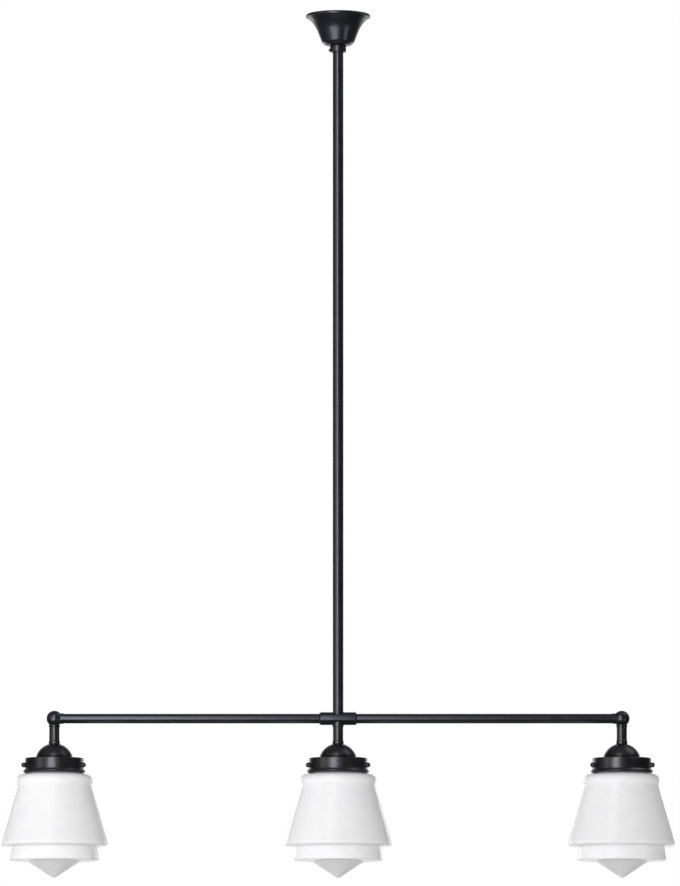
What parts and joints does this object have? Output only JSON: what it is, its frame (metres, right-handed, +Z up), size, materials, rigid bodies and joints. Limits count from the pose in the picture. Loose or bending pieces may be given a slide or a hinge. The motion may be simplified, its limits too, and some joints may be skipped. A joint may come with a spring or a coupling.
{
  "type": "linear island pendant",
  "caption": "Linear island pendant: a downrod on a ceiling canopy carries a crossbar whose galleries hold stepped, pointed opal glass shades over screw-base lamps.",
  "frame": {"origin": "centre of the ceiling plate's top face, which lies on the ceiling", "axes": "+Z up, +X along the crossbar to the picture's right, and the viewer at -Y"},
  "size_m": [1.011, 0.161, 1.3065],
  "materials": {
    "black_coat": "satin blue-black powder coat",
    "zinc_steel": "bright zinc plate",
    "opal_glass": "glossy opal, white all through",
    "black_plastic": "moulded phenolic",
    "shell_brass": "drawn and rolled sheet",
    "cream_plastic": "moulded",
    "lamp_glass": "satin white",
    "lamp_aluminium": "drawn sheet"
  },
  "bodies": {
    "ceiling_mount": {"ceiling_plate": "zinc_steel", "ceiling_hook": "zinc_steel", "terminal_block": "cream_plastic"},
    "hanging_link": {"hanging_link": "zinc_steel"},
    "pendant": {"loop_nipple": "zinc_steel", "downrod": "black_coat", "rod_nipple": "zinc_steel", "cross_coupler": "black_coat", "crossbar_left": "black_coat", "end_ball_left": "black_coat", "ball_nipple_left": "zinc_steel", "crossbar_right": "black_coat", "end_ball_right": "black_coat", "ball_nipple_right": "zinc_steel", "stem_left": "black_coat", "dome_cap_left": "black_coat", "gallery_left": "black_coat", "glass_shade_left": "opal_glass", "stem_nipple_left": "zinc_steel", "lock_nut_left": "zinc_steel", "holder_cap_left": "black_plastic", "holder_body_left": "black_plastic", "screw_shell_left": "shell_brass", "stem_middle": "black_coat", "dome_cap_middle": "black_coat", "gallery_middle": "black_coat", "glass_shade_middle": "opal_glass", "stem_nipple_middle": "zinc_steel", "lock_nut_middle": "zinc_steel", "holder_cap_middle": "black_plastic", "holder_body_middle": "black_plastic", "screw_shell_middle": "shell_brass", "stem_right": "black_coat", "dome_cap_right": "black_coat", "gallery_right": "black_coat", "glass_shade_right": "opal_glass", "stem_nipple_right": "zinc_steel", "lock_nut_right": "zinc_steel", "holder_cap_right": "black_plastic", "holder_body_right": "black_plastic", "screw_shell_right": "shell_brass"},
    "canopy": {"canopy": "black_coat", "set_collar": "black_coat"},
    "clamp_screw": {"clamp_screw": "black_coat"},
    "thumb_screw_left_1": {"thumb_screw_left_1": "black_coat"},
    "thumb_screw_left_2": {"thumb_screw_left_2": "black_coat"},
    "thumb_screw_left_3": {"thumb_screw_left_3": "black_coat"},
    "lamp_left": {"lamp_cap_left": "lamp_aluminium", "lamp_bulb_left": "lamp_glass"},
    "thumb_screw_middle_1": {"thumb_screw_middle_1": "black_coat"},
    "thumb_screw_middle_2": {"thumb_screw_middle_2": "black_coat"},
    "thumb_screw_middle_3": {"thumb_screw_middle_3": "black_coat"},
    "lamp_middle": {"lamp_cap_middle": "lamp_aluminium", "lamp_bulb_middle": "lamp_glass"},
    "thumb_screw_right_1": {"thumb_screw_right_1": "black_coat"},
    "thumb_screw_right_2": {"thumb_screw_right_2": "black_coat"},
    "thumb_screw_right_3": {"thumb_screw_right_3": "black_coat"},
    "lamp_right": {"lamp_cap_right": "lamp_aluminium", "lamp_bulb_right": "lamp_glass"}
  },
  "joints": [
    {"name": "link_swing", "type": "hinge", "parent": "ceiling_mount", "child": "hanging_link", "pos_m": [0, 0, -0.01545], "axis": [0, 1, 0], "range_deg": [-2, 2]},
    {"name": "pendant_swing", "type": "hinge", "parent": "hanging_link", "child": "pendant", "pos_m": [0, 0, -0.0245], "axis": [1, 0, 0], "range_deg": [-2, 2]},
    {"name": "canopy_slide", "type": "slide", "parent": "pendant", "child": "canopy", "axis": [0, 0, -1], "range_m": [0, 0.12]},
    {"name": "clamp_screw_out", "type": "slide", "parent": "canopy", "child": "clamp_screw", "axis": [-1, 0, 0], "range_m": [0, 0.004]},
    {"name": "thumb_screw_out_left_1", "type": "slide", "parent": "pendant", "child": "thumb_screw_left_1", "axis": [0.866, -0.5, 0], "range_m": [0, 0.005]},
    {"name": "thumb_screw_out_left_2", "type": "slide", "parent": "pendant", "child": "thumb_screw_left_2", "axis": [-0.866, -0.5, 0], "range_m": [0, 0.005]},
    {"name": "thumb_screw_out_left_3", "type": "slide", "parent": "pendant", "child": "thumb_screw_left_3", "axis": [0, 1, 0], "range_m": [0, 0.005]},
    {"name": "lamp_unscrew_left", "type": "slide", "parent": "pendant", "child": "lamp_left", "axis": [0, 0, -1], "range_m": [0, 0.018]},
    {"name": "thumb_screw_out_middle_1", "type": "slide", "parent": "pendant", "child": "thumb_screw_middle_1", "axis": [0.866, -0.5, 0], "range_m": [0, 0.005]},
    {"name": "thumb_screw_out_middle_2", "type": "slide", "parent": "pendant", "child": "thumb_screw_middle_2", "axis": [-0.866, -0.5, 0], "range_m": [0, 0.005]},
    {"name": "thumb_screw_out_middle_3", "type": "slide", "parent": "pendant", "child": "thumb_screw_middle_3", "axis": [0, 1, 0], "range_m": [0, 0.005]},
    {"name": "lamp_unscrew_middle", "type": "slide", "parent": "pendant", "child": "lamp_middle", "axis": [0, 0, -1], "range_m": [0, 0.018]},
    {"name": "thumb_screw_out_right_1", "type": "slide", "parent": "pendant", "child": "thumb_screw_right_1", "axis": [0.866, -0.5, 0], "range_m": [0, 0.005]},
    {"name": "thumb_screw_out_right_2", "type": "slide", "parent": "pendant", "child": "thumb_screw_right_2", "axis": [-0.866, -0.5, 0], "range_m": [0, 0.005]},
    {"name": "thumb_screw_out_right_3", "type": "slide", "parent": "pendant", "child": "thumb_screw_right_3", "axis": [0, 1, 0], "range_m": [0, 0.005]},
    {"name": "lamp_unscrew_right", "type": "slide", "parent": "pendant", "child": "lamp_right", "axis": [0, 0, -1], "range_m": [0, 0.018]}
  ]
}
